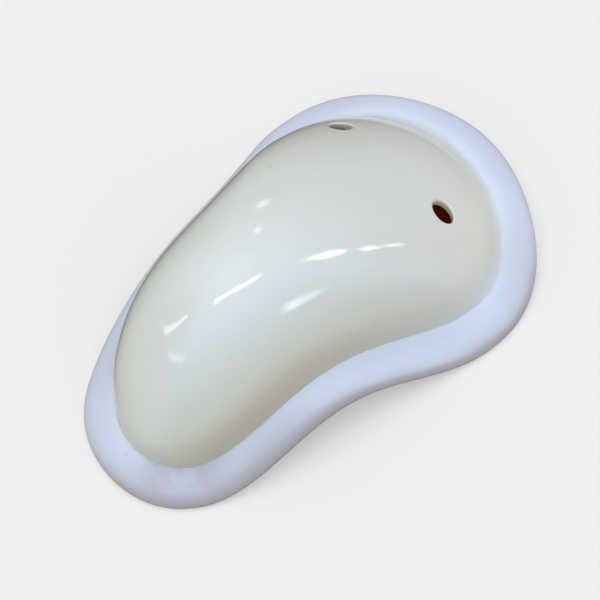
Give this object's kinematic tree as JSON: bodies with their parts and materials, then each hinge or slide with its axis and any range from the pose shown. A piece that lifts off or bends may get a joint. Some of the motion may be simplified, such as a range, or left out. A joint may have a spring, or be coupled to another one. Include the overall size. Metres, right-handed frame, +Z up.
{
  "type": "groin guard",
  "caption": "Hard moulded cup with a soft bumper gripped round its edge, open behind, with vent holes near its wide end; worn over the groin in sport.",
  "frame": {"origin": "under the middle of the bumper's outline, on the surface that the guard lies on with its open side down", "axes": "+Y towards the wide end with the vent holes, +Z up towards the cup's crown, +X to one side; both sides of X = 0 are alike"},
  "size_m": [0.1032, 0.1536, 0.0585],
  "materials": {
    "cup_plastic": "glossy ivory moulded plastic",
    "bumper": "soft white with a satin skin"
  },
  "bodies": {
    "root": {"cup_shell": "cup_plastic", "rim_pad": "bumper"}
  },
  "joints": []
}
